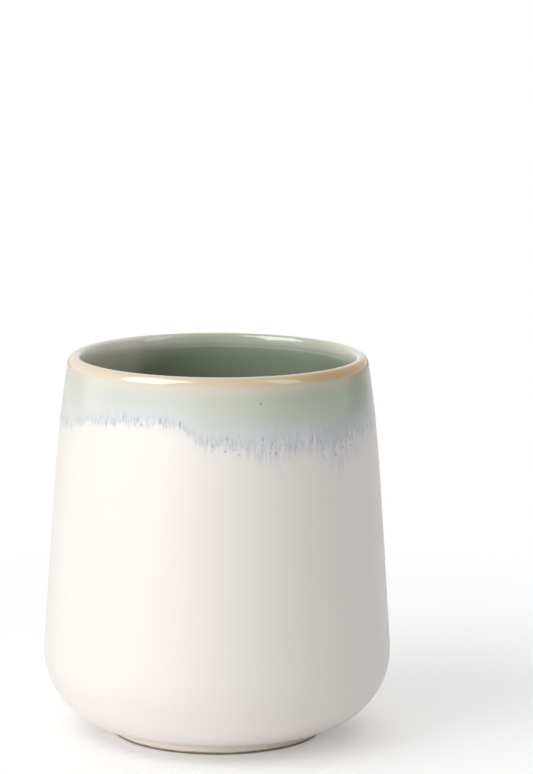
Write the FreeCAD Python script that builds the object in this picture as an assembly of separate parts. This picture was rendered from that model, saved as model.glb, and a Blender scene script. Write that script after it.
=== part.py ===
import FreeCAD, Part
import math
import os

# A toothbrush tumbler: one fired stoneware cup and the coats of glaze that were put on it.
# Millimetres, Z up. The origin is the centre of the foot ring, on the surface that the cup stands on.
# The front of the cup faces minus Y.

# Overall sizes, measured over the glaze
overall_height = 96.4
belly_diameter = 88.0
rim_diameter = 75.8
lip_thickness = 3.3
lip_outside_radius = 2.8    # round of the lip towards the outside, larger than the one at its crest
lip_join_angle = 60.0       # degrees above flat where the two rounds meet

# Clay wall and floor
clay_wall = 2.9
wall_lean = 3.96            # degrees by which the straight wall leans in
shoulder_height = 34.6      # from the crest of the clay down to the straight wall
lip_taper_depth = 3.6       # from the crest down to the full wall, on the inside
inside_corner_radius = 14.0
base_thickness = 5.0

# Heel, the rounded foot of the wall, drawn as two curves
heel_belly_radius = 19.1
heel_foot_radius = 11.6
heel_join_angle = 33.3      # degrees above flat where the two curves meet

# Foot ring
foot_height = 3.5           # from the ground up to the lowest place of the heel
foot_lean = 22.0            # degrees by which the outside of the ring leans in towards the ground
foot_flat = 3.5             # width of the flat that the cup stands on
foot_edge_radius = 0.5
foot_root_radius = 0.8
recess_depth = 2.2

# Thickness of each coat of glaze
white_coat = 0.45
mint_coat = 0.55
honey_coat = 0.4
lining_coat = 0.5
recess_coat = 0.4

# Where the honey coat ends: down the outside, and over the round of the crest towards the inside
honey_depth = 2.6
honey_crest_share = 0.45

# Ragged lower edge of the mint band. The shares go round from the front towards plus X, evenly spaced,
# and say how high the edge stands between its lowest and its highest place.
drip_depth = 17.0           # from the crest of the clay down to the lowest place
drip_rise = 6.2
drip_rise_shares = (
    0.23, 0.12, 0.17, 0.00, 0.17, 0.23, 0.41, 0.58,
    0.52, 0.35, 0.17, 0.29, 0.52, 0.70, 0.81, 0.64,
    0.46, 0.35, 0.27, 0.30, 0.55, 0.81, 1.00, 0.92,
)
run_count = 48              # tongues of glaze that hang from the edge
run_length = 1.7            # longest tongue
short_run_share = 0.3       # shortest tongue, as a share of the longest
run_turn = 2.4              # radians that set how the lengths wander from one tongue to the next
cut_overrun = 2.0

# Sizes of the bare clay
crest_height = overall_height - honey_coat
belly_radius = belly_diameter / 2 - white_coat
rim_radius = rim_diameter / 2 - honey_coat
inside_floor = recess_depth + base_thickness
lean = math.radians(wall_lean)
heel_join = math.radians(heel_join_angle)
lip_join = math.radians(lip_join_angle)
straight_up = math.pi / 2


def step(place, direction, distance):
    return (place[0] + direction[0] * distance, place[1] + direction[1] * distance)


def pointing(angle):
    return (math.cos(angle), math.sin(angle))


def line(start, end, normal):
    # a straight stretch of the section, with the direction that faces away from the clay
    return [(start, normal), (end, normal)]


def arc(centre, radius, start_angle, end_angle, facing=1):
    # a round stretch, which faces away from its centre, or towards it where facing is -1
    stations = []
    for angle in (start_angle, (start_angle + end_angle) / 2, end_angle):
        out = pointing(angle)
        stations.append((step(centre, out, radius), (facing * out[0], facing * out[1])))
    return stations


def meeting_radius(place, into_clay, centre, radius):
    # radius of the arc that leaves a wall at a place and runs on smoothly into a round
    gap = step(place, centre, -1)
    reach = gap[0] ** 2 + gap[1] ** 2 - radius ** 2
    depth = gap[0] * into_clay[0] + gap[1] * into_clay[1] + radius
    return -reach / (2 * depth)


def meeting_angle(arc_centre, arc_radius, centre, radius):
    # angle at which that arc meets the round
    span = arc_radius - radius
    return math.atan2((centre[1] - arc_centre[1]) / span, (centre[0] - arc_centre[0]) / span)


def height_angle(centre, radius, height):
    return math.asin((height - centre[1]) / radius)


# Lip: a larger round outside, and at the crest the round that leaves the clay its thickness
lip_round = lip_outside_radius - honey_coat
lip_clay = lip_thickness - 2 * honey_coat
crest_round = (lip_clay - lip_round * (1 - math.cos(lip_join))) / (1 + math.cos(lip_join))
crest_lift = (lip_round - crest_round) * math.sin(lip_join)
lip_centre = (rim_radius - lip_round, crest_height - crest_round - crest_lift)
crest_centre = step(lip_centre, pointing(lip_join), lip_round - crest_round)

# Heel: both curves are placed from the underside and the belly
lower_height = foot_height + heel_foot_radius
upper_height = lower_height + (heel_belly_radius - heel_foot_radius) * math.cos(heel_join)
upper_centre = (belly_radius - heel_belly_radius, upper_height)
lower_centre = step(upper_centre, pointing(heel_join - straight_up), heel_belly_radius - heel_foot_radius)

# Straight wall, from the heel up to the shoulder
wall_out = pointing(lean)
wall_up = pointing(lean + straight_up)
wall_foot = step(upper_centre, wall_out, heel_belly_radius)
wall_length = (crest_height - shoulder_height - wall_foot[1]) / wall_up[1]
wall_top = step(wall_foot, wall_up, wall_length)

# Shoulder, one long curve from the straight wall into the lip
wall_in = (-wall_out[0], -wall_out[1])
shoulder_radius = meeting_radius(wall_top, wall_in, lip_centre, lip_round)
shoulder_centre = step(wall_top, wall_in, shoulder_radius)
lip_outside_angle = meeting_angle(shoulder_centre, shoulder_radius, lip_centre, lip_round)
honey_angle = height_angle(shoulder_centre, shoulder_radius, crest_height - honey_depth)

# Inside of the lip, where the wall thins towards the crest
inner_radius = shoulder_radius - clay_wall
taper_angle = height_angle(shoulder_centre, inner_radius, crest_height - lip_taper_depth)
taper_out = pointing(taper_angle)
taper_place = step(shoulder_centre, taper_out, inner_radius)
taper_radius = meeting_radius(taper_place, taper_out, crest_centre, crest_round)
taper_centre = step(taper_place, taper_out, taper_radius)
lip_inside_angle = meeting_angle(taper_centre, taper_radius, crest_centre, crest_round) % (2 * math.pi)
honey_crest_angle = lip_join + honey_crest_share * (lip_inside_angle - lip_join)

# Inside corner between the floor and the straight wall
inner_wall_top = step(wall_top, wall_in, clay_wall)
corner_height = inside_floor + inside_corner_radius
corner_rise = corner_height + inside_corner_radius * wall_out[1] - inner_wall_top[1]
inner_wall_foot = step(inner_wall_top, wall_up, corner_rise / wall_up[1])
corner_centre = step(inner_wall_foot, wall_in, inside_corner_radius)

# Foot ring: its outside leaves the heel in a small hollow round and leans in to the flat
foot_tilt = math.radians(-foot_lean)
foot_out = pointing(foot_tilt)
foot_down = pointing(foot_tilt - straight_up)
root_centre = (lower_centre[0], foot_height - foot_root_radius)
slope_top = step(root_centre, foot_out, -foot_root_radius)
slope_drop = slope_top[1] - foot_edge_radius * (1 + foot_out[1])
slope_foot = step(slope_top, foot_down, -slope_drop / foot_down[1])
edge_centre = step(slope_foot, foot_out, -foot_edge_radius)
foot_inside = edge_centre[0] - foot_flat - foot_edge_radius
recess_radius = foot_inside - foot_root_radius

# Stretches of the clay's section, from the middle of the inside floor round to the heel
inside = [
    line((0, inside_floor), (corner_centre[0], inside_floor), (0, 1)),
    arc(corner_centre, inside_corner_radius, -straight_up, lean, -1),
    line(inner_wall_foot, inner_wall_top, wall_in),
    arc(shoulder_centre, inner_radius, lean, taper_angle, -1),
    arc(taper_centre, taper_radius, taper_angle + math.pi, lip_inside_angle),
    arc(crest_centre, crest_round, lip_inside_angle, honey_crest_angle),
]
lip = [
    arc(crest_centre, crest_round, honey_crest_angle, lip_join),
    arc(lip_centre, lip_round, lip_join, lip_outside_angle),
    arc(shoulder_centre, shoulder_radius, lip_outside_angle, honey_angle),
]
outside = [
    arc(shoulder_centre, shoulder_radius, honey_angle, lean),
    line(wall_top, wall_foot, wall_out),
    arc(upper_centre, heel_belly_radius, lean, heel_join - straight_up),
    arc(lower_centre, heel_foot_radius, heel_join - straight_up, -straight_up),
]

# Stretches of the foot ring and of the recess inside it
foot = [
    arc(root_centre, foot_root_radius, straight_up, foot_tilt + math.pi, -1),
    line(slope_top, slope_foot, foot_out),
    arc(edge_centre, foot_edge_radius, foot_tilt, -straight_up),
    line((edge_centre[0], 0), (foot_inside + foot_edge_radius, 0), (0, -1)),
    arc((foot_inside + foot_edge_radius, foot_edge_radius), foot_edge_radius, -straight_up, -math.pi),
    line((foot_inside, foot_edge_radius), (foot_inside, recess_depth - foot_root_radius), (-1, 0)),
    arc((recess_radius, recess_depth - foot_root_radius), foot_root_radius, 0, straight_up, -1),
    line((recess_radius, recess_depth), (0, recess_depth), (0, -1)),
]
axis = [line((0, recess_depth), (0, inside_floor), (-1, 0))]


def spot(station, offset):
    place = step(station[0], station[1], offset)
    return FreeCAD.Vector(place[0], 0, place[1])


def edge(stretch, offset):
    # an edge along a stretch, at an even distance from the clay
    spots = [spot(station, offset) for station in stretch]
    if len(spots) == 2:
        return Part.LineSegment(*spots).toShape()
    return Part.Arc(*spots).toShape()


def turned(edges):
    # a solid of revolution about the cup's axis
    wire = Part.Wire(Part.__sortEdges__(edges))
    return Part.Face(wire).revolve(FreeCAD.Vector(0, 0, 0), FreeCAD.Vector(0, 0, 1), 360)


def coat(stretches, thickness):
    # an even coat of glaze on some stretches of the clay
    edges = [edge(stretch, 0) for stretch in stretches]
    edges += [edge(stretch, thickness) for stretch in stretches]
    for station in (stretches[0][0], stretches[-1][-1]):
        edges.append(Part.LineSegment(spot(station, 0), spot(station, thickness)).toShape())
    return turned(edges)


def drip_height(turn):
    # height of the ragged edge before its tongues, at a share of the way round
    place = turn * len(drip_rise_shares)
    before = math.floor(place)
    here = drip_rise_shares[before % len(drip_rise_shares)]
    after = drip_rise_shares[(before + 1) % len(drip_rise_shares)]
    rise_share = here + (after - here) * (place - before)
    return crest_height - drip_depth + drip_rise * rise_share


def edge_height(place):
    # the ragged edge has a tip at each even place and a notch at each odd one
    height = drip_height(place / (2 * run_count))
    if place % 2:
        return height
    length_share = short_run_share + (1 - short_run_share) * math.sin(place // 2 * run_turn) ** 2
    return height - run_length * length_share


def tongue_edge(run, radius):
    # the edge of one tongue, from notch to tip to notch, level at both notches
    half_width = math.pi * radius / run_count
    points = []
    along = []
    for place in (2 * run - 1, 2 * run, 2 * run + 1):
        angle = math.pi * place / run_count
        x, y = radius * math.sin(angle), -radius * math.cos(angle)
        points.append(FreeCAD.Vector(x, y, edge_height(place)))
        along.append(FreeCAD.Vector(math.cos(angle), math.sin(angle), 0) * half_width)
    curve = Part.BSplineCurve()
    curve.interpolate(
        Points=points,
        Parameters=list(range(len(points))),
        InitialTangent=along[0],
        FinalTangent=along[-1],
    )
    return curve.toShape()


def drip_fence():
    # radial patches along the ragged edge, one for each tongue, that part the mint coat from the white
    inner = min(rim_radius, belly_radius) - clay_wall - cut_overrun
    outer = max(rim_radius, belly_radius) + mint_coat + cut_overrun
    return [
        Part.makeRuledSurface(tongue_edge(run, inner), tongue_edge(run, outer))
        for run in range(run_count)
    ]


def parted(ring, fence):
    # the lower and the upper piece of a ring of glaze
    pieces = ring.generalFuse(fence)[0].Solids
    return sorted(pieces, key=lambda piece: piece.CenterOfMass.z)


def main():
    fence = drip_fence()
    sections = inside + lip + outside + foot + axis
    nodes = {
        "stoneware_body": turned([edge(stretch, 0) for stretch in sections]),
        "white_glaze_coat": parted(coat(outside, white_coat), fence)[0],
        "mint_glaze_band": parted(coat(outside, mint_coat), fence)[-1],
        "honey_lip_glaze": coat(lip, honey_coat),
        "mint_glaze_lining": coat(inside, lining_coat),
        "base_recess_glaze": Part.makeCylinder(
            recess_radius, recess_coat, FreeCAD.Vector(0, 0, recess_depth - recess_coat)
        ),
    }
    os.makedirs("parts", exist_ok=True)
    for name, shape in nodes.items():
        shape.exportStep(f"parts/{name}.step")
        print(f"{name}: {len(shape.Solids)} solid, valid {shape.isValid()}, {shape.Volume:.1f} mm3")
    print(f"shoulder radius {shoulder_radius:.1f}, lip taper radius {taper_radius:.2f}")
    print(f"flat of the foot from {foot_inside + foot_edge_radius:.2f} to {edge_centre[0]:.2f}")
    print(f"inside floor {inside_floor:.2f}")


main()
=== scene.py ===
import math

import bpy
import numpy as np
from mathutils import Matrix, Vector


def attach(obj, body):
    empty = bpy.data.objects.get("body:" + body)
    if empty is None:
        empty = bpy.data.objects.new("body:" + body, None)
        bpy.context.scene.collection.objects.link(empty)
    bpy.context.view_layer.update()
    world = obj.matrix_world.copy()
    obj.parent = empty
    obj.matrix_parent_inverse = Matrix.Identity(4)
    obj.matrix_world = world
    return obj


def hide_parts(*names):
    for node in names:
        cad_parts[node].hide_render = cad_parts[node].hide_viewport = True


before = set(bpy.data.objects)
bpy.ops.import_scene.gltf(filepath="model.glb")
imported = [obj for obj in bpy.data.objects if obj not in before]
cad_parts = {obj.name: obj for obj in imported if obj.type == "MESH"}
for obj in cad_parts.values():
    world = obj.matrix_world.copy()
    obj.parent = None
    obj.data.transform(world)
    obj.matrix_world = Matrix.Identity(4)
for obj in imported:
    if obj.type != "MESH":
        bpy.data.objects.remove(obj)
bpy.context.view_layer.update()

mm = 0.001  # the cup is worked out in millimetres, Blender works in metres
quarter = math.pi / 2
print("frame loaded:", ", ".join(sorted(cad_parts)))


# a socket that takes part in Python sums
class Wire:
    def __init__(self, sheet, socket):
        self.sheet = sheet
        self.socket = socket

    def __add__(self, other):
        return self.sheet.math("ADD", self, other)

    def __radd__(self, other):
        return self.sheet.math("ADD", other, self)

    def __sub__(self, other):
        return self.sheet.math("SUBTRACT", self, other)

    def __rsub__(self, other):
        return self.sheet.math("SUBTRACT", other, self)

    def __mul__(self, other):
        return self.sheet.math("MULTIPLY", self, other)

    def __truediv__(self, other):
        return self.sheet.math("DIVIDE", self, other)

    # another output of the same node
    def beside(self, name):
        return Wire(self.sheet, self.socket.node.outputs[name])


# one node tree; node() makes any node, the rest are short ways to the common ones
class Sheet:
    def __init__(self, tree):
        self.tree = tree
        tree.nodes.clear()

    def node(self, kind, settings=None, sockets=None, out=0):
        made = self.tree.nodes.new(kind)
        for name, value in (settings or {}).items():
            if name == "stops":
                self.setStops(made.color_ramp, value)
            elif name == "points":
                self.setPoints(made.mapping, value)
            else:
                setattr(made, name, value)
        for name, value in (sockets or {}).items():
            socket = self.find(made.inputs, name)
            if isinstance(value, Wire):
                self.tree.links.new(value.socket, socket)
            else:
                socket.default_value = value
        return Wire(self, self.find(made.outputs, out)) if made.outputs else made

    def find(self, sockets, name):
        if isinstance(name, int):
            return sockets[name]
        return next(socket for socket in sockets if socket.enabled and socket.name == name)

    def setStops(self, ramp, stops):
        while len(ramp.elements) < len(stops):
            ramp.elements.new(1.0)
        for element, (place, colour) in zip(ramp.elements, stops):
            element.position = place
            element.color = (*colour, 1.0)

    def setPoints(self, mapping, points):
        curve = mapping.curves[0]
        while len(curve.points) < len(points):
            curve.points.new(1.0, 1.0)
        for point, place in zip(curve.points, points):
            point.location = place
        mapping.update()

    def math(self, operation, first, second=0.0):
        return self.node("ShaderNodeMath", {"operation": operation}, {0: first, 1: second})

    # 0 below low, 1 above high, soft between
    def ease(self, value, low, high):
        sockets = {"Value": value, "From Min": low, "From Max": high}
        return self.node("ShaderNodeMapRange", {"interpolation_type": "SMOOTHSTEP"}, sockets)

    # the other way: 1 below low, 0 above high
    def fade(self, value, low, high):
        return 1 - self.ease(value, low, high)

    def mix(self, factor, first, second):
        first, second = (c if isinstance(c, Wire) else (*c, 1.0) for c in (first, second))
        sockets = {"Factor": factor, "A": first, "B": second}
        return self.node("ShaderNodeMix", {"data_type": "RGBA"}, sockets, "Result")

    # colour by a value, with stops written in the value's own units
    def ramp(self, value, stops):
        low, high = stops[0][0], stops[-1][0]
        shares = [((place - low) / (high - low), colour) for place, colour in stops]
        share = (value - low) * (1 / (high - low))
        return self.node("ShaderNodeValToRGB", {"stops": shares}, {"Fac": share}, "Color")

    # value by the turn round the cup, with points as degrees from the front and values
    def around(self, turn, points):
        values = [value for _, value in points]
        low, span = min(values), max(values) - min(values)
        shares = [((degrees + 180) / 360, (value - low) / span) for degrees, value in points]
        return self.node("ShaderNodeFloatCurve", {"points": shares}, {"Value": turn}) * span + low

    def noise(self, vector, detail):
        sockets = {"Vector": vector, "Scale": 1.0, "Detail": detail}
        return self.node("ShaderNodeTexNoise", None, sockets, "Fac")

    def vector(self, x, y, z):
        return self.node("ShaderNodeCombineXYZ", None, {"X": x, "Y": y, "Z": z})


wallRadius = 40.0  # where the widths of streaks and cells are true


# a place on the cup in millimetres, as shader values; turn is 0.5 at the front, 0 and 1 at the back
class Place:
    def __init__(self, sheet):
        self.sheet = sheet
        spot = sheet.node("ShaderNodeTexCoord", None, None, "Object")
        self.x, self.y, self.z = (
            sheet.node("ShaderNodeSeparateXYZ", None, {"Vector": spot}, axis) * (1 / mm) for axis in "XYZ"
        )
        self.radius = sheet.math("SQRT", self.x * self.x + self.y * self.y)
        self.turn = sheet.math("ARCTAN2", self.x, self.y * -1) * (0.5 / math.pi) + 0.5

    # the place on a wall drawn to one radius, counted in cells of a width and a length
    def cells(self, width, length, shift=0.0):
        spread = wallRadius / width
        ringX = self.x / self.radius * spread
        ringY = self.y / self.radius * spread
        return self.sheet.vector(ringX, ringY, self.z * (1 / length) + shift)

    # noise stretched down the wall
    def streaks(self, width, length, detail, shift=0.0):
        return self.sheet.noise(self.cells(width, length, shift), detail)

    # even noise with grains of a size
    def grains(self, size, detail, shift=0.0):
        scale = 1 / size
        spot = self.sheet.vector(self.x * scale + shift, self.y * scale, self.z * scale)
        return self.sheet.noise(spot, detail)


def newMaterial(name):
    material = bpy.data.materials.new(name)
    material.use_nodes = True
    return material, Sheet(material.node_tree)


# the surface shader with its fixed and varying sockets, joined to the material's end
def surface(sheet, sockets, height, depth):
    bump = {"Height": height, "Distance": depth * mm, "Strength": 1.0}
    normal = sheet.node("ShaderNodeBump", None, bump)
    shader = sheet.node("ShaderNodeBsdfPrincipled", None, {**sockets, "Normal": normal})
    sheet.node("ShaderNodeOutputMaterial", None, {"Surface": shader})


# the cup's section, with the sizes of the part; height, belly, rim and lip are over the glaze
cup = {
    "height": 96.4,
    "belly": 88.0,
    "rim": 75.8,
    "lip": 3.3,  # thickness
    "lipOutside": 2.8,  # radius of the lip's outer round
    "lipJoin": math.radians(60),  # where that round meets the one at the crest
    "wall": 2.9,
    "lean": math.radians(3.96),
    "shoulder": 34.6,  # depth below the crest at which the wall begins to curve in
    "lipTaper": 3.6,  # depth below the crest at which the inside turns into the lip
    "corner": 14.0,  # radius inside, at the floor
    "base": 5.0,
    "heelBelly": 19.1,  # radii of the heel above and below their join
    "heelFoot": 11.6,
    "heelJoin": math.radians(33.3),
    "footHeight": 3.5,
    "footLean": math.radians(22),
    "footFlat": 3.5,  # width that stands on the ground
    "footEdge": 0.5,  # radii at the ground and at the root of the foot
    "footRoot": 0.8,
    "recess": 2.2,
    "columns": 384,  # of each mesh, round the cup
}
# thickness of each coat of glaze
coats = {"white": 0.45, "mint": 0.55, "honey": 0.4, "lining": 0.5, "recess": 0.4}

# spacing of the rows along each stretch of the section, finer where it bends more
pace = {
    "floor": 1.0,
    "corner": 0.8,
    "innerWall": 1.0,
    "innerShoulder": 0.7,
    "lipTaper": 0.2,
    "crest": 0.1,
    "lipOutside": 0.12,
    "shoulder": 0.5,
    "wall": 0.8,
    "heelBelly": 0.6,
    "heelFoot": 0.3,
    "footRoot": 0.1,
    "footSlope": 0.3,
    "footEdge": 0.08,
    "footFlat": 0.4,
    "footInnerEdge": 0.1,
    "recessWall": 0.3,
    "recessRoot": 0.12,
    "recess": 1.0,
}
fewestRun, fewestBend = 2, 4  # least rows of a straight and of a round stretch


def pointing(angle):
    return np.array([math.cos(angle), math.sin(angle)])


# rows of a straight stretch: radius, height, and the way it faces
def run(start, end, facing, spacing):
    steps = max(fewestRun, round(math.dist(start, end) / spacing) + 1)
    places = np.linspace(start, end, steps)
    return np.hstack([places, np.tile(facing, (steps, 1))])


# rows of a round stretch, facing away from its centre or, with side -1, towards it
def bend(centre, radius, first, last, spacing, side=1):
    steps = max(fewestBend, round(abs(last - first) * radius / spacing) + 1)
    angles = np.linspace(first, last, steps)
    out = np.column_stack([np.cos(angles), np.sin(angles)])
    return np.hstack([centre + out * radius, out * side])


# the arc that leaves a wall at a place and runs on into a round: its centre, radius and last angle
def joining(place, inward, centre, radius):
    gap = place - centre
    size = -(gap @ gap - radius ** 2) / (2 * (gap @ inward + radius))
    middle = place + inward * size
    way = (centre - middle) / (size - radius)
    return middle, size, math.atan2(way[1], way[0])


def joined(*stretches):
    rows = [stretches[0]] + [stretch[1:] for stretch in stretches[1:]]
    return np.vstack(rows)


# rows inside, outside and under the foot, then the crest's radius and length and the recess's radius
def claySection(c):
    crest = c["height"] - coats["honey"]
    belly = c["belly"] / 2 - coats["white"]
    out = pointing(c["lean"])
    up = pointing(c["lean"] + quarter)

    # lip: a larger round outside, and at the crest the round that leaves it its thickness
    join = c["lipJoin"]
    lipSize = c["lipOutside"] - coats["honey"]
    lipClay = c["lip"] - 2 * coats["honey"]
    crestSize = (lipClay - lipSize * (1 - math.cos(join))) / (1 + math.cos(join))
    rise = crestSize + (lipSize - crestSize) * math.sin(join)
    lipCentre = np.array([c["rim"] / 2 - coats["honey"] - lipSize, crest - rise])
    crestCentre = lipCentre + pointing(join) * (lipSize - crestSize)

    # heel, wall and shoulder
    lowerZ = c["footHeight"] + c["heelFoot"]
    span = c["heelBelly"] - c["heelFoot"]
    upper = np.array([belly - c["heelBelly"], lowerZ + span * math.cos(c["heelJoin"])])
    lower = upper + pointing(c["heelJoin"] - quarter) * span
    wallFoot = upper + out * c["heelBelly"]
    wallTop = wallFoot + up * (crest - c["shoulder"] - wallFoot[1]) / up[1]
    shoulder, shoulderSize, lipOut = joining(wallTop, -out, lipCentre, lipSize)

    # inside: lip taper, wall and corner
    innerSize = shoulderSize - c["wall"]
    taperAngle = math.asin((crest - c["lipTaper"] - shoulder[1]) / innerSize)
    taperPlace = shoulder + pointing(taperAngle) * innerSize
    taper, taperSize, lipIn = joining(taperPlace, pointing(taperAngle), crestCentre, crestSize)
    lipIn %= 2 * math.pi
    innerTop = wallTop - out * c["wall"]
    floorZ = c["recess"] + c["base"]
    cornerZ = floorZ + c["corner"]
    innerFoot = innerTop + up * (cornerZ + c["corner"] * out[1] - innerTop[1]) / up[1]
    corner = innerFoot - out * c["corner"]

    # foot ring, which leans in from the heel to its flat
    edge, root = c["footEdge"], c["footRoot"]
    slopeOut = pointing(-c["footLean"])
    slopeDown = pointing(-c["footLean"] - quarter)
    rootCentre = np.array([lower[0], c["footHeight"] - root])
    slopeTop = rootCentre - slopeOut * root
    slopeFoot = slopeTop - slopeDown * (slopeTop[1] - edge * (1 + slopeOut[1])) / slopeDown[1]
    edgeCentre = slopeFoot - slopeOut * edge
    footIn = edgeCentre[0] - c["footFlat"] - edge
    recessEnd = footIn - root
    down, level = np.array([0.0, -1.0]), np.array([1.0, 0.0])

    inside = joined(
        run((0.0, floorZ), (corner[0], floorZ), -down, pace["floor"]),
        bend(corner, c["corner"], -quarter, c["lean"], pace["corner"], -1),
        run(innerFoot, innerTop, -out, pace["innerWall"]),
        bend(shoulder, innerSize, c["lean"], taperAngle, pace["innerShoulder"], -1),
        bend(taper, taperSize, taperAngle + math.pi, lipIn, pace["lipTaper"]),
        bend(crestCentre, crestSize, lipIn, join, pace["crest"]),
    )
    outside = joined(
        bend(lipCentre, lipSize, join, lipOut, pace["lipOutside"]),
        bend(shoulder, shoulderSize, lipOut, c["lean"], pace["shoulder"]),
        run(wallTop, wallFoot, out, pace["wall"]),
        bend(upper, c["heelBelly"], c["lean"], c["heelJoin"] - quarter, pace["heelBelly"]),
        bend(lower, c["heelFoot"], c["heelJoin"] - quarter, -quarter, pace["heelFoot"]),
    )
    foot = joined(
        bend(rootCentre, root, quarter, math.pi - c["footLean"], pace["footRoot"], -1),
        run(slopeTop, slopeFoot, slopeOut, pace["footSlope"]),
        bend(edgeCentre, edge, -c["footLean"], -quarter, pace["footEdge"]),
        run((edgeCentre[0], 0.0), (footIn + edge, 0.0), down, pace["footFlat"]),
        bend(np.array([footIn + edge, edge]), edge, -quarter, -math.pi, pace["footInnerEdge"]),
        run((footIn, edge), (footIn, c["recess"] - root), -level, pace["recessWall"]),
        bend(np.array([recessEnd, c["recess"] - root]), root, 0.0, quarter, pace["recessRoot"], -1),
        run((recessEnd, c["recess"]), (0.0, c["recess"]), down, pace["recess"]),
    )
    return inside, outside, foot, crestCentre[0], crestSize * (lipIn - join), recessEnd


insideRows, outsideRows, footRows, crestRadius, crestLength, recessEnd = claySection(cup)
turns = np.arange(cup["columns"]) / cup["columns"]  # from the front towards +X
ringAngles = 2 * math.pi * turns
print(f"section worked out: {len(insideRows)} rows inside, {len(outsideRows)} outside")


# a section with the length walked along it
class Track:
    def __init__(self, rows):
        self.rows = rows
        self.walked = np.concatenate([[0.0], np.cumsum(np.hypot(*np.diff(rows[:, :2], axis=0).T))])
        self.length = self.walked[-1]

    # radius and height at a length along the track, lifted off the clay
    def at(self, walked, lift):
        r, z, facingR, facingZ = (np.interp(walked, self.walked, column) for column in self.rows.T)
        size = np.hypot(facingR, facingZ)
        return np.stack([r + facingR / size * lift, z + facingZ / size * lift])


sharpAngle = math.radians(50)  # edges that turn by more stay sharp


# closed mesh turned from rings, each with its radius and height all the way round;
# with poles, the first and last ring shrink to a point on the axis
def turnedMesh(name, rings, poles=False):
    radius, height = np.concatenate(rings, axis=1)
    if poles:
        radius[0] = radius[-1] = 0.0
    meanR, meanZ = radius.mean(axis=1), height.mean(axis=1)
    area = np.sum(meanR * np.roll(meanZ, -1) - np.roll(meanR, -1) * meanZ)
    if area < 0:  # the faces would look inwards
        radius, height = radius[::-1], height[::-1]
    count, columns = radius.shape
    points = np.stack([radius * np.sin(ringAngles), -radius * np.cos(ringAngles), height], axis=-1) * mm

    # share of the way round the section at each row, for the bake layer
    steps = np.hypot(np.diff(meanR), np.diff(meanZ))[:: 1 if area > 0 else -1]
    along = np.concatenate([[0.0], np.cumsum(steps)])
    closing = 0.0 if poles else math.dist((meanR[0], meanZ[0]), (meanR[-1], meanZ[-1]))
    along = np.append(along, along[-1] + closing) / (along[-1] + closing)

    first, last = (1, count - 2) if poles else (0, count - 1)
    vertices = points[first:last + 1].reshape(-1, 3).tolist()
    faces, corners = [], []

    def number(row, column):
        return (row % count - first) * columns + column % columns

    rowPairs = range(first, last) if poles else range(count)
    for row in rowPairs:
        low, high = along[row], along[row + 1]
        for column in range(columns):
            faces.append(
                (number(row, column), number(row, column + 1),
                 number(row + 1, column + 1), number(row + 1, column))
            )
            left, right = column / columns, (column + 1) / columns
            corners += [(left, low), (right, low), (right, high), (left, high)]
    if poles:
        for tip, row, ahead in ((0, first, 0), (count - 1, last, 1)):
            vertices.append(points[tip].mean(axis=0).tolist())
            for column in range(columns):
                pair = (number(row, column + ahead), number(row, column + 1 - ahead))
                faces.append((len(vertices) - 1, pair[1], pair[0]))
                places = ((column + ahead) / columns, (column + 1 - ahead) / columns)
                middle = (column + 0.5) / columns
                corners += [(middle, along[tip]), (places[1], along[row]), (places[0], along[row])]

    mesh = bpy.data.meshes.new(name)
    mesh.from_pydata(vertices, [], faces)
    layer = mesh.uv_layers.new(name="OFBake")
    layer.data.foreach_set("uv", np.array(corners, dtype=np.float32).ravel())
    mesh.shade_smooth()
    mesh.set_sharp_from_angle(angle=sharpAngle)
    mesh.validate()
    return mesh


# puts a finished piece where its node is
def putPiece(name, mesh, material, node):
    piece = bpy.data.objects.new(name, mesh)
    bpy.context.scene.collection.objects.link(piece)
    mesh.materials.append(material)
    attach(piece, "root")
    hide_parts(node)
    print(f"{name}: {len(mesh.polygons)} faces")


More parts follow.
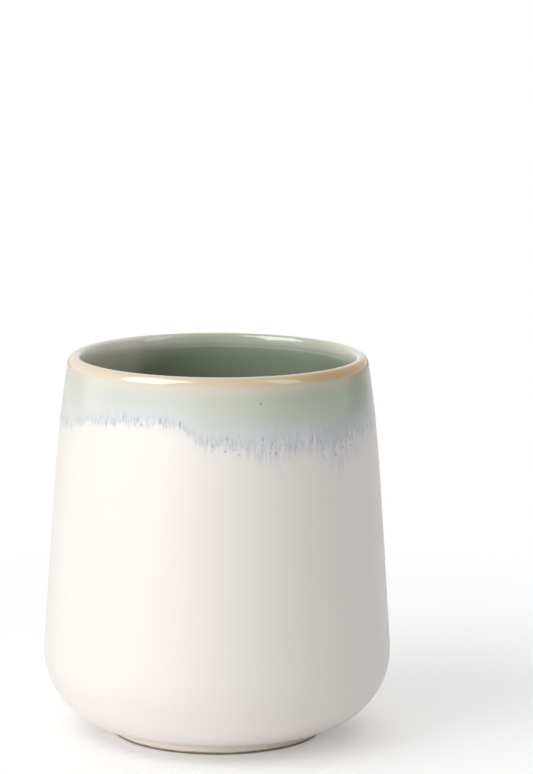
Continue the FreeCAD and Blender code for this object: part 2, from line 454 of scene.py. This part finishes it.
# ragged lower edge of the mint band: degrees from the front towards +X, and height
drip = {
    "line": [
        (-180, 82.5), (-160, 84.0), (-140, 85.0), (-120, 83.2), (-100, 81.2), (-85, 80.6), (-70, 81.0),
        (-60, 82.4), (-50, 83.6), (-40, 84.4), (-30, 85.2), (-20, 85.2), (-14, 84.6), (-10, 82.9),
        (-6, 81.2), (0, 80.4), (10, 80.6), (20, 79.6), (30, 80.4), (40, 79.8), (47, 79.0), (55, 80.2),
        (65, 80.4), (80, 80.6), (100, 81.6), (120, 83.0), (135, 82.0), (150, 80.3), (165, 81.0),
        (180, 82.5),
    ],
    # by the same degrees: how strong the mint is (weaker on the lit left, partly thinner glaze and partly
    # painted reflection), how softly it ends, how ragged its edge is, how far its trails reach and how
    # blue it is
    "strength": [
        (-180, 0.75), (-120, 0.6), (-100, 0.48), (-80, 0.42), (-51, 0.54), (-31, 0.70), (-15, 0.68),
        (0, 0.68), (16, 0.82), (33, 1.0), (48, 1.08), (61, 1.08), (77, 1.0), (130, 0.9), (180, 0.78),
    ],
    "softness": [
        (-180, 1.3), (-100, 1.1), (-60, 0.9), (-20, 0.9), (0, 1.1), (18, 1.6), (60, 1.8), (120, 1.4),
        (180, 1.3),
    ],
    "raggedness": [
        (-180, 1.1), (-120, 0.9), (-60, 0.7), (-20, 0.55), (0, 0.9), (20, 1.3), (60, 1.4), (120, 1.2),
        (180, 1.1),
    ],
    "reach": [
        (-180, 3.5), (-120, 2.5), (-60, 1.6), (-20, 0.8), (-6, 1.6), (6, 2.6), (18, 5.2), (34, 4.2),
        (49, 7.2), (64, 4.4), (85, 3.0), (120, 4.2), (150, 5.0), (180, 3.5),
    ],
    "blueness": [
        (-180, 0.7), (-100, 0.4), (-75, 0.25), (-58, 0.5), (-36, 0.72), (-26, 0.8), (-10, 0.92),
        (0, 0.78), (12, 0.62), (40, 0.52), (70, 0.42), (120, 0.6), (180, 0.7),
    ],
    "tongues": 48,  # round the cup
    "tongueLength": 1.7,
    "shortest": 0.3,  # share of the length that the shortest tongue has
    "wander": 2.4,  # how the lengths change from tongue to tongue
}
honey = {"depth": 2.6, "crestShare": 0.45}  # how far it goes down the outside, and over the crest


def dripEdge():
    degrees = turns * 360
    points = sorted((place % 360, height) for place, height in drip["line"][:-1])
    line = np.interp(degrees, *np.array(points).T, period=360)
    tongue = np.round(turns * drip["tongues"])
    inTongue = np.cos(math.pi * (turns * drip["tongues"] - tongue)) ** 2
    length = drip["shortest"] + (1 - drip["shortest"]) * np.sin(tongue * drip["wander"]) ** 2
    return line - drip["tongueLength"] * length * inTongue


# how the coats thicken, thin and wave along the section, in millimetres
flow = {
    "mintEdge": (-0.7, 1.1),  # where the mint grows thicker than the white, above its edge
    "bead": 0.05,  # height of the bead at that edge
    "beadWidth": 1.1,
    "honeyEdge": (-1.0, 11.0),  # where the honey's thickness gives way, below its end
    "footEdge": 1.1,  # length over which the white thins at the foot
    "footShare": 0.25,  # share of its thickness left there
    "liningEdge": 4.0,  # length over which the lining thins to the honey
    "outsideWave": (1.3, 0.035),  # seed and size
    "insideWave": (4.1, 0.04),
    # lengths over which the waves come in, from the lip and from the middle of the floor
    "outsideCalm": 4.0,
    "insideCalm": 6.0,
    "floorCalm": 12.0,
    # waves: times round the cup, share of the seed, and drift down the wall
    "waves": [(2, 1, 0.11), (5, -2, 0.17), (11, 3, -0.29)],
}


# slow unevenness of a hand-dipped coat
def uneven(walked, seed, size):
    waves = [
        np.sin(times * ringAngles + share * seed + walked * drift)
        for times, share, drift in flow["waves"]
    ]
    return size * sum(waves) / len(waves)


def soft(value, low, high):
    share = np.clip((value - low) / (high - low), 0, 1)
    return share * share * (3 - 2 * share)


outer = Track(outsideRows)
inner = Track(insideRows)
dripAt = np.interp(-dripEdge(), -outsideRows[:, 1], outer.walked)
honeyEnd = cup["height"] - coats["honey"] - honey["depth"]
honeyAt = np.interp(-honeyEnd, -outsideRows[:, 1], outer.walked)
lipStart = inner.length - honey["crestShare"] * crestLength


# thickness of the glaze outside at a length along the track
def outsideLift(walked):
    mint = soft(dripAt - walked, *flow["mintEdge"])
    bead = flow["bead"] * np.exp(-((dripAt - walked) / flow["beadWidth"]) ** 2)
    lift = coats["white"] + (coats["mint"] - coats["white"]) * mint + bead
    lift = lift + (coats["honey"] - lift) * (1 - soft(walked - honeyAt, *flow["honeyEdge"]))
    wave = uneven(walked, *flow["outsideWave"]) * soft(walked, 0.0, flow["outsideCalm"])
    ending = soft(outer.length - walked, 0.0, flow["footEdge"])
    return (lift + wave) * (flow["footShare"] + (1 - flow["footShare"]) * ending)


# thickness of the glaze inside at a length along the track
def insideLift(walked):
    lip = soft(walked, lipStart - flow["liningEdge"], lipStart)
    lift = coats["lining"] + (coats["honey"] - coats["lining"]) * lip
    calm = soft(inner.length - walked, 0.0, flow["insideCalm"]) * soft(walked, 0.0, flow["floorCalm"])
    return lift + uneven(walked, *flow["insideWave"]) * calm


def bare(walked):
    return np.zeros_like(walked)


def ringsAlong(track, lengths, lift):
    walked = np.array(lengths)
    walked = walked if walked.ndim == 2 else np.repeat(walked[:, None], cup["columns"], axis=1)
    return track.at(walked, lift(walked))


# a coat's rings: one way on its face, and back on the clay with one row for every so many
def coatRings(track, lengths, lift, every):
    return [ringsAlong(track, lengths, lift), ringsAlong(track, lengths[::-every], bare)]


def roundRings(rows):
    return np.repeat(rows[:, :2].T[:, :, None], cup["columns"], axis=2)


def between(start, end, count):
    shares = np.linspace(0, 1, count)[:, None]
    return start + (end - start) * shares * np.ones(cup["columns"])


# in the looks below, grains are given as size, detail and shift, streaks as width, length, detail
# and shift, a range as where something begins and where it is full, and an amount as its share
glazeIor = 1.52

# fired clay, cream under a thin wash; darker brown at the ground, partly toasted clay wiped bare there,
# partly painted contact shadow
clay = {
    "light": (0.93, 0.87, 0.79),
    "dark": (0.88, 0.81, 0.73),
    "grain": (0.70, 0.61, 0.50),
    "toastAndContactShade": (0.27, 0.21, 0.14),
    "cloud": {"grains": (3.5, 3.0), "range": (0.35, 0.68)},
    "sand": {"grains": (0.32, 2.0, 7.0), "range": (0.45, 0.8), "amount": 0.45},
    "grit": {"grains": (0.55, 1.0, 21.0), "range": (0.7, 0.78), "amount": 0.5},
    "wipedAndShaded": (0.45, 0.95),  # heights between which the toasted clay and painted contact shadow end
    "wander": 0.4,  # how far that end goes up and down
    "toastWidth": 2.0,  # from the recess outwards
    "rough": 0.6,
    "roughToast": 0.15,
    "roughSand": 0.2,
    "cloudRelief": 0.5,
    "relief": 0.05,
}


def clayMaterial():
    material, sheet = newMaterial("bareStoneware")
    place = Place(sheet)
    cloud, sand, grit = (place.grains(*clay[name]["grains"]) for name in ("cloud", "sand", "grit"))
    colour = sheet.mix(sheet.ease(cloud, *clay["cloud"]["range"]), clay["light"], clay["dark"])
    sandy = sheet.ease(sand, *clay["sand"]["range"]) * clay["sand"]["amount"]
    colour = sheet.mix(sandy, colour, clay["dark"])
    gritty = sheet.ease(grit, *clay["grit"]["range"]) * clay["grit"]["amount"]
    colour = sheet.mix(gritty, colour, clay["grain"])
    # toasted bare clay and painted contact shadow near the ground
    wipedAndShaded = sheet.fade(place.z + (cloud - 0.5) * clay["wander"], *clay["wipedAndShaded"])
    outward = sheet.ease(place.radius, recessEnd, recessEnd + clay["toastWidth"])
    colour = sheet.mix(wipedAndShaded * outward, colour, clay["toastAndContactShade"])
    rough = clay["rough"] + wipedAndShaded * clay["roughToast"] + sand * clay["roughSand"]
    sockets = {"Base Color": colour, "Roughness": rough}
    surface(sheet, sockets, sand + cloud * clay["cloudRelief"], clay["relief"])
    return material


# the outside glaze: white below, mint running down into it with blue flecks
glaze = {
    "white": (0.83, 0.79, 0.755),
    "paintedHeelLight": (0.91, 0.86, 0.82),  # painted light from the floor, paler at the heel
    "heel": (4.0, 15.0),  # heights between which it ends
    # the mint by its height above the running edge
    "mint": [
        (-4.0, (0.83, 0.79, 0.755)), (-1.2, (0.772, 0.743, 0.721)), (0.3, (0.647, 0.656, 0.661)),
        (2.0, (0.575, 0.615, 0.608)), (4.0, (0.538, 0.588, 0.548)), (7.0, (0.49, 0.55, 0.475)),
        (11.0, (0.462, 0.515, 0.395)),
    ],
    "blue": (0.46, 0.565, 0.645),
    "navy": (0.25, 0.345, 0.445),
    "trail": (0.66, 0.655, 0.68),
    "ink": (0.17, 0.23, 0.33),
    # the pinhole's dark: painted shade inside a hole the mesh does not have
    "speck": (0.20, 0.22, 0.19),
    "finger": {"streaks": (1.5, 7.0, 2.0, 5.0), "throw": 6.5},
    "fine": {"streaks": (0.6, 4.5, 2.0, 11.0), "throw": 5.0},
    "calm": {"range": (1.0, 6.0), "amount": 0.8},  # heights over which the raggedness dies down
    "softEnd": (0.5, 6.0),  # heights over which the softness dies down
    # trails: how a streak's value turns into its length, and where they end and start
    "trails": {
        "streaks": (0.36, 11.0, 2.0, 71.0), "stretch": 3.2, "cut": 0.9, "end": (0.0, 1.6),
        "start": (-3.0, 0.0), "range": (0.44, 0.56), "amount": 0.8,
    },
    "gather": {"from": (-1.6, 0.0), "to": (0.8, 3.2)},  # heights where the blue gathers
    "strokes": {"streaks": (0.5, 3.0, 2.0, 31.0), "range": (0.49, 0.62), "amount": 0.75},
    "hearts": {"streaks": (0.4, 1.8, 1.0, 47.0), "range": (0.58, 0.7), "amount": 0.85},
    # specks: width and length of their cells, their edge, which cells have one, and how low they go
    "specks": {
        "cells": (1.1, 1.6), "edge": (0.1, 0.32), "chance": (0.54, 0.58), "from": (-1.0, 0.6),
        "reach": 0.7, "to": (0.0, 0.8), "amount": 0.6,
    },
    "pinhole": {"turn": 15.5, "height": 90.2, "range": (0.16, 0.42), "amount": 0.75},
    "rough": 0.36,
    "mintGloss": {"range": (-1.5, 1.5), "amount": 0.25},
    "lipGloss": {"range": (2.0, 4.0), "amount": 0.06},
    "ripple": (2.2, 1.0, 3.0),
    "fineRipple": 0.4,
    "relief": 0.01,
}


# colour of the white and the mint, with height above the running edge and the finest streaks
def runningMint(sheet, place):
    strength, softness, raggedness, reach, blueness = (
        sheet.around(place.turn, drip[name])
        for name in ("strength", "softness", "raggedness", "reach", "blueness")
    )
    rise = place.z - sheet.around(place.turn, drip["line"])
    below = rise * -1
    finger, fine = (place.streaks(*glaze[name]["streaks"]) for name in ("finger", "fine"))
    ragged = (finger - 0.5) * glaze["finger"]["throw"] + (fine - 0.5) * glaze["fine"]["throw"]
    calm = 1 - sheet.ease(rise, *glaze["calm"]["range"]) * glaze["calm"]["amount"]
    above = rise + ragged * raggedness * calm

    # mint, paler where the coat is thin
    spread = softness + (1 - softness) * sheet.ease(above, *glaze["softEnd"])
    # the mint's strength by turn is partly painted reflection on the lit left
    colour = sheet.mix(strength, glaze["white"], sheet.ramp(above / spread, glaze["mint"]))
    # paler towards the heel: painted bounce light from the floor
    colour = sheet.mix(sheet.fade(place.z, *glaze["heel"]), colour, glaze["paintedHeelLight"])

    # fine trails that run on below the edge
    look = glaze["trails"]
    trail = place.streaks(*look["streaks"])
    left = reach * (trail * look["stretch"] - look["cut"]) - below
    trails = sheet.ease(left, *look["end"]) * sheet.ease(below, *look["start"])
    trails = trails * sheet.ease(trail, *look["range"])
    colour = sheet.mix(trails * look["amount"], colour, glaze["trail"])

    # blue strokes with darker hearts where the mint gathers at its edge
    gather = sheet.ease(above, *glaze["gather"]["from"]) * sheet.fade(above, *glaze["gather"]["to"])
    for name, tint in (("strokes", "blue"), ("hearts", "navy")):
        look = glaze[name]
        stroke = sheet.ease(place.streaks(*look["streaks"]), *look["range"])
        colour = sheet.mix(stroke * gather * blueness * look["amount"], colour, glaze[tint])

    # a few dark specks at the lower ends
    look = glaze["specks"]
    cell = {"Vector": place.cells(*look["cells"]), "Scale": 1.0}
    speck = sheet.node("ShaderNodeTexVoronoi", None, cell, "Distance")
    dots = sheet.fade(speck, *look["edge"]) * sheet.ease(speck.beside("Color"), *look["chance"])
    lowEnds = sheet.ease(below, *look["from"]) * sheet.fade(below - reach * look["reach"], *look["to"])
    colour = sheet.mix(dots * lowEnds * look["amount"], colour, glaze["ink"])

    # one pinhole, its dark painted as the shade inside it
    look = glaze["pinhole"]
    turn, height = math.radians(look["turn"]), look["height"]
    radius = np.interp(-height, -outsideRows[:, 1], outsideRows[:, 0]) + coats["mint"]
    hole = (radius * math.sin(turn), -radius * math.cos(turn), height)
    spot = sheet.vector(place.x, place.y, place.z)
    away = sheet.node("ShaderNodeVectorMath", {"operation": "DISTANCE"}, {0: spot, 1: hole}, "Value")
    colour = sheet.mix(sheet.fade(away, *look["range"]) * look["amount"], colour, glaze["speck"])
    return colour, above, fine


# honey over the lip, through a peach haze into the mint
lipLook = {
    "honeyPaleLeft": (0.74, 0.63, 0.47),
    "honeyDeepRight": (0.62, 0.39, 0.155),
    "peachPaleLeft": (0.74, 0.68, 0.59),
    "peachDeepRight": (0.60, 0.52, 0.41),
    "inside": (0.74, 0.73, 0.65),
    # by degrees from the front, from the pale left to the deep right: partly thinner honey, partly
    # painted reflection on the lit left and painted shade on the right
    "around": [
        (-180, 0.7), (-120, 0.35), (-80, 0.0), (-45, 0.03), (-20, 0.15), (0, 0.3), (16, 0.45), (33, 0.7),
        (50, 1.0), (80, 1.0), (130, 0.8), (180, 0.7),
    ],
    "wander": {"streaks": (3.0, 9.0, 2.0, 61.0), "amount": 1.2},  # how the depth goes up and down
    "haze": {"range": (2.2, 5.8), "amount": 0.7},  # depths at which the haze and the honey end
    "honey": (1.1, 2.9),
    "inward": (0.1, 1.0),  # from the crest outwards: where the pale inner lip and crest top end, partly pale glaze and partly painted highlight
    "inwardDepth": (4.0, 6.0),
}


# colour with the lip's honey over it, and the depth below the crest
def honeyOver(sheet, place, colour):
    around = sheet.around(place.turn, lipLook["around"])
    wander = (place.streaks(*lipLook["wander"]["streaks"]) - 0.5) * lipLook["wander"]["amount"]
    depth = cup["height"] - place.z + wander
    # pale to deep round the cup: partly the honey's thickness, partly painted reflection and painted
    # shade
    peach = sheet.mix(around, lipLook["peachPaleLeft"], lipLook["peachDeepRight"])
    amber = sheet.mix(around, lipLook["honeyPaleLeft"], lipLook["honeyDeepRight"])
    haze = sheet.fade(depth, *lipLook["haze"]["range"]) * lipLook["haze"]["amount"]
    colour = sheet.mix(haze, colour, peach)
    colour = sheet.mix(sheet.fade(depth, *lipLook["honey"]), colour, amber)
    # pale inner lip and crest top: partly the pale lining glaze, partly painted highlight
    inward = sheet.fade(place.radius - crestRadius, *lipLook["inward"])
    colour = sheet.mix(inward * sheet.fade(depth, *lipLook["inwardDepth"]), colour, lipLook["inside"])
    return colour, depth


def outsideMaterial():
    material, sheet = newMaterial("runningGlaze")
    place = Place(sheet)
    colour, above, fine = runningMint(sheet, place)
    colour, depth = honeyOver(sheet, place, colour)
    gloss = sheet.ease(above, *glaze["mintGloss"]["range"])
    lipGloss = sheet.fade(depth, *glaze["lipGloss"]["range"])
    rough = glaze["rough"] - gloss * glaze["mintGloss"]["amount"] - lipGloss * glaze["lipGloss"]["amount"]
    ripple = place.grains(*glaze["ripple"]) + fine * gloss * glaze["fineRipple"]
    sockets = {"Base Color": colour, "Roughness": rough, "IOR": glazeIor}
    surface(sheet, sockets, ripple, glaze["relief"])
    return material


# sage green lining, paler where it thins at the lip, with painted light on the left inside and painted
# shade at the back and deeper down
lining = {
    "lip": (0.88, 0.84, 0.71),
    "fleck": (0.20, 0.24, 0.18),
    # darker deeper down: painted shade
    "shadedByDepth": [
        (0.0, (0.43, 0.475, 0.375)), (1.5, (0.43, 0.475, 0.375)), (6.0, (0.32, 0.375, 0.285)),
        (45.0, (0.22, 0.265, 0.19)), (90.0, (0.22, 0.265, 0.19)),
    ],
    # by degrees from the front: how pale the lip is, and how far down; the strong, deep paleness on the
    # left inside is painted light, the faint one at the back painted shade
    "palenessAndLight": [
        (-180, 0.1), (-168, 0.2), (-148, 0.55), (-126, 1.0), (-110, 1.0), (-70, 1.0), (-20, 0.7),
        (40, 0.7), (80, 0.8), (110, 0.6), (140, 0.25), (180, 0.1),
    ],
    "paleAndLitDepth": [
        (-180, 3.5), (-164, 6.0), (-148, 12.0), (-128, 25.0), (-100, 26.0), (-70, 15.0), (-20, 6.0),
        (40, 5.0), (90, 6.0), (140, 4.0), (180, 3.5),
    ],
    "cloud": (7.0, 16.0, 3.0),
    "wander": 2.5,  # how far the depths go up and down
    "flecks": {"streaks": (0.8, 7.0, 2.0, 17.0), "range": (0.5, 0.75), "amount": 0.07},
    "paintedHighlightLine": {"depth": 3.2, "range": (0.1, 0.45), "amount": 0.2},  # a faint painted highlight line where the inside turns into the lip
    "rough": 0.1,
    "roughCloud": 0.06,
    "ripple": (2.6, 1.0),
    "relief": 0.012,
}


def liningMaterial():
    material, sheet = newMaterial("sageLining")
    place = Place(sheet)
    cloud = place.streaks(*lining["cloud"])
    level = cup["height"] - place.z
    depth = level + (cloud - 0.5) * lining["wander"]
    # paleness by turn: thin glaze at the lip, painted light on the left inside, painted shade at the back
    paleAndLit = sheet.fade(depth / sheet.around(place.turn, lining["paleAndLitDepth"]), 0.0, 1.0)
    paleAndLit = paleAndLit * sheet.around(place.turn, lining["palenessAndLight"])
    colour = sheet.mix(paleAndLit, sheet.ramp(depth, lining["shadedByDepth"]), lining["lip"])
    flecks = sheet.ease(place.streaks(*lining["flecks"]["streaks"]), *lining["flecks"]["range"])
    colour = sheet.mix(flecks * lining["flecks"]["amount"], colour, lining["fleck"])
    # a pale line painted at that depth as a highlight
    line = sheet.math("ABSOLUTE", level - lining["paintedHighlightLine"]["depth"])
    line = sheet.fade(line, *lining["paintedHighlightLine"]["range"]) * lining["paintedHighlightLine"]["amount"]
    colour = sheet.mix(line, colour, lining["lip"])
    rough = lining["rough"] + cloud * lining["roughCloud"]
    sockets = {"Base Color": colour, "Roughness": rough, "IOR": glazeIor}
    surface(sheet, sockets, place.grains(*lining["ripple"]), lining["relief"])
    return material


# the glaze under the base, pooled a little towards its rim
recess = {
    "middle": (0.80, 0.765, 0.72),
    "rim": (0.70, 0.655, 0.60),
    "pinhole": (0.42, 0.36, 0.30),
    "cloud": (5.0, 3.0),
    "wander": 4.0,  # how far the rim's tint goes in and out
    "rimWidth": 5.0,
    "pinholes": {"grains": (0.7, 1.0, 9.0), "range": (0.7, 0.76), "amount": 0.6},
    "rough": 0.32,
    "roughCloud": 0.14,
    "relief": 0.03,
    "rings": (0.0, 0.2, 0.4, 0.6, 0.8, 0.9, 0.94, 0.97, 1.0),  # shares of its radius
    "thinWidth": 2.0,  # where it thins at its rim, and by how much
    "thinShare": 0.6,
}


def recessMaterial():
    material, sheet = newMaterial("recessGlaze")
    place = Place(sheet)
    cloud = place.grains(*recess["cloud"])
    spread = place.radius + (cloud - 0.5) * recess["wander"]
    rim = sheet.ease(spread, recessEnd - recess["rimWidth"], recessEnd)
    colour = sheet.mix(rim, recess["middle"], recess["rim"])
    look = recess["pinholes"]
    pinholes = sheet.ease(place.grains(*look["grains"]), *look["range"]) * look["amount"]
    colour = sheet.mix(pinholes, colour, recess["pinhole"])
    rough = recess["rough"] + cloud * recess["roughCloud"]
    surface(sheet, {"Base Color": colour, "Roughness": rough, "IOR": glazeIor}, cloud, recess["relief"])
    return material


clayLook = clayMaterial()
outsideLook = outsideMaterial()
liningLook = liningMaterial()
recessLook = recessMaterial()
print("materials made")

# rows of the coats, and how many rows make one on the sides that don't show
rowCounts = {"white": 170, "mint": 44, "lipOver": 12, "lipDown": 22}
hiddenEvery = {"clay": 3, "white": 5, "mint": 4, "lipOver": 2, "lipDown": 3, "lining": 4}
leastStep = 0.2  # before the lining's last row

# the whole clay section, close together only where the foot shows
bodyRows = np.vstack([insideRows[::hiddenEvery["clay"]], outsideRows[::hiddenEvery["clay"]], footRows])
bodyMesh = turnedMesh("clayBody", [roundRings(bodyRows)], True)
putPiece("clayBody", bodyMesh, clayLook, "stoneware_body")

whiteLengths = between(dripAt, outer.length, rowCounts["white"])
whiteMesh = turnedMesh("whiteGlaze", coatRings(outer, whiteLengths, outsideLift, hiddenEvery["white"]))
putPiece("whiteGlaze", whiteMesh, outsideLook, "white_glaze_coat")

mintLengths = between(honeyAt, dripAt, rowCounts["mint"])
mintMesh = turnedMesh("mintBand", coatRings(outer, mintLengths, outsideLift, hiddenEvery["mint"]))
putPiece("mintBand", mintMesh, outsideLook, "mint_glaze_band")

overLengths = np.linspace(lipStart, inner.length, rowCounts["lipOver"])
downLengths = np.linspace(0.0, honeyAt, rowCounts["lipDown"])[1:]
overFace, overClay = coatRings(inner, overLengths, insideLift, hiddenEvery["lipOver"])
downFace, downClay = coatRings(outer, downLengths, outsideLift, hiddenEvery["lipDown"])
lipMesh = turnedMesh("honeyLip", [overFace, downFace, downClay, overClay])
putPiece("honeyLip", lipMesh, outsideLook, "honey_lip_glaze")

liningLengths = np.concatenate([inner.walked[inner.walked < lipStart - leastStep], [lipStart]])
liningMesh = turnedMesh("sageLining", [
    ringsAlong(inner, liningLengths, insideLift),
    ringsAlong(inner, liningLengths[::-1][:-1:hiddenEvery["lining"]], bare),
    ringsAlong(inner, [0.0], bare),
], True)
putPiece("sageLining", liningMesh, liningLook, "mint_glaze_lining")

discR = recessEnd * np.array(recess["rings"])
thinning = recess["thinShare"] * soft(discR, recessEnd - recess["thinWidth"], recessEnd)
discZ = cup["recess"] - coats["recess"] * (1 - thinning)
discRows = np.column_stack([
    np.concatenate([discR, discR[::-1]]),
    np.concatenate([discZ, np.full(len(discR), cup["recess"])]),
])
discMesh = turnedMesh("recessGlaze", [roundRings(discRows)], True)
putPiece("recessGlaze", discMesh, recessLook, "base_recess_glaze")

# floor that keeps the shadow, lifted for the camera and turning plain white from near to far, in metres;
# the room is plain white where it is seen or mirrored, and gives a little light
stage = {"floor": 0.95, "lift": 0.175, "near": 0.08, "far": 0.24, "size": 8.0, "ambient": 0.15}


def whiteFloor():
    size = stage["size"] / 2
    corners = [(-size, -size, 0), (size, -size, 0), (size, size, 0), (-size, size, 0)]
    mesh = bpy.data.meshes.new("paperFloor")
    mesh.from_pydata(corners, [], [(0, 1, 2, 3)])
    floor = bpy.data.objects.new("paperFloor", mesh)
    bpy.context.scene.collection.objects.link(floor)
    material, sheet = newMaterial("whitePaper")
    paper = sheet.node("ShaderNodeBsdfDiffuse", None, {"Color": (stage["floor"],) * 3 + (1.0,)})
    camera = sheet.node("ShaderNodeLightPath", None, None, "Is Camera Ray")
    glow = sheet.node("ShaderNodeEmission", None, {"Strength": camera * stage["lift"]})
    lit = sheet.node("ShaderNodeAddShader", None, {0: paper, 1: glow})
    plain = sheet.node("ShaderNodeEmission", None, {"Strength": 1.0})
    away = Place(sheet).radius * mm
    beyond = camera * sheet.ease(away, stage["near"], stage["far"])
    shade = sheet.node("ShaderNodeMixShader", None, {0: beyond, 1: lit, 2: plain})
    sheet.node("ShaderNodeOutputMaterial", None, {"Surface": shade})
    mesh.materials.append(material)


def paleWorld():
    world = bpy.data.worlds.new("paleRoom")
    world.use_nodes = True
    sheet = Sheet(world.node_tree)
    seen = sheet.node("ShaderNodeLightPath", None, None, "Is Camera Ray")
    plain = sheet.math("MAXIMUM", seen, seen.beside("Is Glossy Ray"))
    plain = sheet.math("MAXIMUM", plain, seen.beside("Is Transmission Ray"))
    strength = stage["ambient"] + plain * (1 - stage["ambient"])
    room = sheet.node("ShaderNodeBackground", None, {"Color": (1.0, 1.0, 1.0, 1.0), "Strength": strength})
    sheet.node("ShaderNodeOutputWorld", None, {"Surface": room})
    bpy.context.scene.world = world


# soft boxes: degrees from the front towards +X, degrees up, width and height in metres
lamps = {
    "keySoftbox": {"turn": -62, "up": 40, "size": (1.0, 0.9), "watts": 4.8, "only": "diffuse"},
    "lowSoftbox": {"turn": -40, "up": 9, "size": (1.2, 0.5), "watts": 8.2, "only": "diffuse"},
    "topSoftbox": {"turn": 0, "up": 86, "size": (1.4, 1.4), "watts": 4.9, "only": "diffuse"},
    "rightCard": {"turn": 105, "up": 18, "size": (0.6, 0.9), "watts": 2.6, "only": "diffuse"},
    "backCard": {"turn": 180, "up": 35, "size": (1.4, 0.9), "watts": 4.3, "only": "diffuse"},
    "lipSoftbox": {"turn": -62, "up": 45, "size": (0.76, 0.97), "watts": 21.7, "only": "glossy"},
    "sideSoftbox": {"turn": 59.5, "up": 42, "size": (0.38, 0.9), "watts": 3.6, "only": "glossy"},
}
lampDistance = 1.2  # metres from the middle of the cup


def softbox(name, lamp):
    light = bpy.data.lights.new(name, "AREA")
    light.shape = "RECTANGLE"
    light.size, light.size_y = lamp["size"]
    light.energy = lamp["watts"]
    box = bpy.data.objects.new(name, light)
    turn, up = math.radians(lamp["turn"]), math.radians(lamp["up"])
    way = Vector((math.sin(turn) * math.cos(up), -math.cos(turn) * math.cos(up), math.sin(up)))
    box.location = way * lampDistance + Vector((0, 0, cup["height"] / 2 * mm))
    box.rotation_euler = (-way).to_track_quat("-Z", "Y").to_euler()
    box.visible_glossy = lamp["only"] != "diffuse"
    box.visible_diffuse = lamp["only"] != "glossy"
    bpy.context.scene.collection.objects.link(box)


# where the picture was taken from, fitted to the cup's outline: metres, radians and millimetres
view = {
    "place": (0.0, -0.850, 0.23113),
    "pitch": 0.1667,
    "yaw": 0.0143,
    "roll": 0.0058,
    "lens": 159.45,
    "sensor": 36.0,
}


def photoCamera():
    yaw, pitch = view["yaw"], view["pitch"]
    ahead = Vector((math.sin(yaw) * math.cos(pitch), math.cos(yaw) * math.cos(pitch), -math.sin(pitch)))
    right = Vector((math.cos(yaw), -math.sin(yaw), 0))
    over = right.cross(ahead)
    turned = Matrix((right, over, -ahead)).transposed() @ Matrix.Rotation(view["roll"], 3, "Z")
    data = bpy.data.cameras.new("photoCamera")
    data.lens = view["lens"]
    data.sensor_width = view["sensor"]
    camera = bpy.data.objects.new("photoCamera", data)
    camera.matrix_world = Matrix.Translation(view["place"]) @ turned.to_4x4()
    bpy.context.scene.collection.objects.link(camera)
    bpy.context.scene.camera = camera


whiteFloor()
paleWorld()
for name, lamp in lamps.items():
    softbox(name, lamp)
photoCamera()
bpy.context.scene.view_settings.view_transform = "Standard"
print("floor, room, lamps and camera placed")
